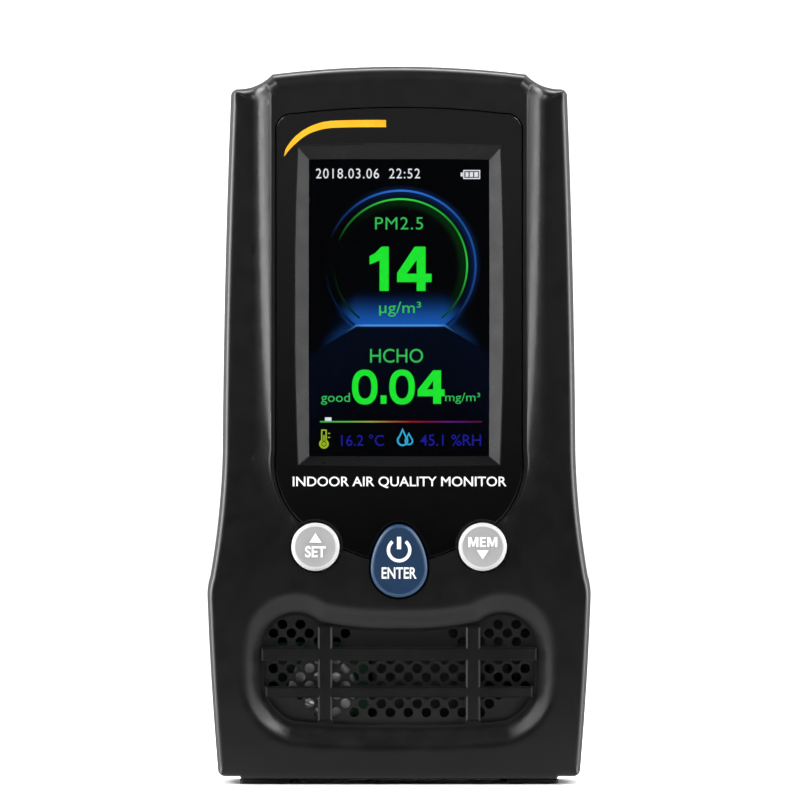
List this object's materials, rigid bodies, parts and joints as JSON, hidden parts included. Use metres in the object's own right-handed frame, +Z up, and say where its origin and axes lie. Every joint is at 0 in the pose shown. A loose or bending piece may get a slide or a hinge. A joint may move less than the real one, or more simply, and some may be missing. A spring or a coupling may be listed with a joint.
{
  "type": "air quality monitor",
  "caption": "Upright hand-held air quality monitor with a tall display behind a glossy face plate, press keys, a guarded air inlet and an internal sampling fan.",
  "frame": {"origin": "centre of the footprint, on the surface the feet stand on", "axes": "+Z up along the longest extent, -Y out of the display, +X to the right of the reader"},
  "size_m": [0.0832, 0.042, 0.1552],
  "materials": {
    "battery_wrap": "foil pouch",
    "black_foam": "foam",
    "brass": "turned",
    "carbon_pill": "conductive rubber",
    "case_plastic": "fine satin texture",
    "chip_black": "moulded epoxy",
    "circuit_board": "solder mask",
    "clear_window": "clear, hard coated",
    "connector_cream": "moulded nylon",
    "copper": "enamelled windings",
    "display_glass": "dark display glass",
    "fan_black": "moulded",
    "flex_film": "amber film",
    "foot_rubber": "soft rubber",
    "inner_plastic": "moulded",
    "key_grey": "satin",
    "key_navy": "satin",
    "magnet": "bonded ferrite",
    "membrane": "porous film",
    "panel_gloss": "polished",
    "plate_dark": "satin",
    "screw_black": "black oxide",
    "sensor_blue": "moulded",
    "sensor_metal": "stamped",
    "sensor_white": "moulded",
    "silicone": "silicone rubber",
    "steel": "plated"
  },
  "bodies": {
    "housing": {"backlight_frame": "inner_plastic", "battery_cell": "battery_wrap", "battery_cradle": "inner_plastic", "board_chips": "chip_black", "board_connectors": "connector_cream", "board_screws": "steel", "buzzer": "chip_black", "charge_board": "circuit_board", "charge_socket": "steel", "climate_sensor": "circuit_board", "coin_cell": "steel", "coin_cell_holder": "inner_plastic", "display_gasket": "black_foam", "display_lens": "clear_window", "display_ribbon": "flex_film", "fan_bearing": "brass", "fan_stator": "copper", "formaldehyde_board": "circuit_board", "formaldehyde_membrane": "membrane", "formaldehyde_sensor": "sensor_white", "front_housing": "case_plastic", "front_panel": "panel_gloss", "housing_screws": "screw_black", "inlet_guard": "case_plastic", "inlet_plate": "plate_dark", "keypad_mat": "silicone", "laser_module": "brass", "lcd_panel": "display_glass", "main_board": "circuit_board", "particle_sensor_base": "sensor_blue", "particle_sensor_cover": "sensor_metal", "photodiode": "chip_black", "rear_housing": "case_plastic", "rubber_feet": "foot_rubber", "sensor_board": "circuit_board", "sensor_bracket": "inner_plastic", "sensor_screws": "steel"},
    "set_button": {"set_key": "key_grey", "set_contact": "carbon_pill"},
    "enter_button": {"enter_key": "key_navy", "enter_contact": "carbon_pill"},
    "mem_button": {"mem_key": "key_grey", "mem_contact": "carbon_pill"},
    "fan": {"fan_rotor": "fan_black", "fan_magnet": "magnet"}
  },
  "joints": [
    {"name": "set_press", "type": "slide", "parent": "housing", "child": "set_button", "axis": [0, 1, 0], "range_m": [0, 0.001], "stiffness_N_per_m": 800, "springref_m": -0.0002},
    {"name": "enter_press", "type": "slide", "parent": "housing", "child": "enter_button", "axis": [0, 1, 0], "range_m": [0, 0.001], "stiffness_N_per_m": 800, "springref_m": -0.0002},
    {"name": "mem_press", "type": "slide", "parent": "housing", "child": "mem_button", "axis": [0, 1, 0], "range_m": [0, 0.001], "stiffness_N_per_m": 800, "springref_m": -0.0002},
    {"name": "fan_spin", "type": "hinge", "parent": "housing", "child": "fan", "pos_m": [0.0065, 0, 0.0225], "axis": [0, 1, 0], "continuous": true}
  ]
}
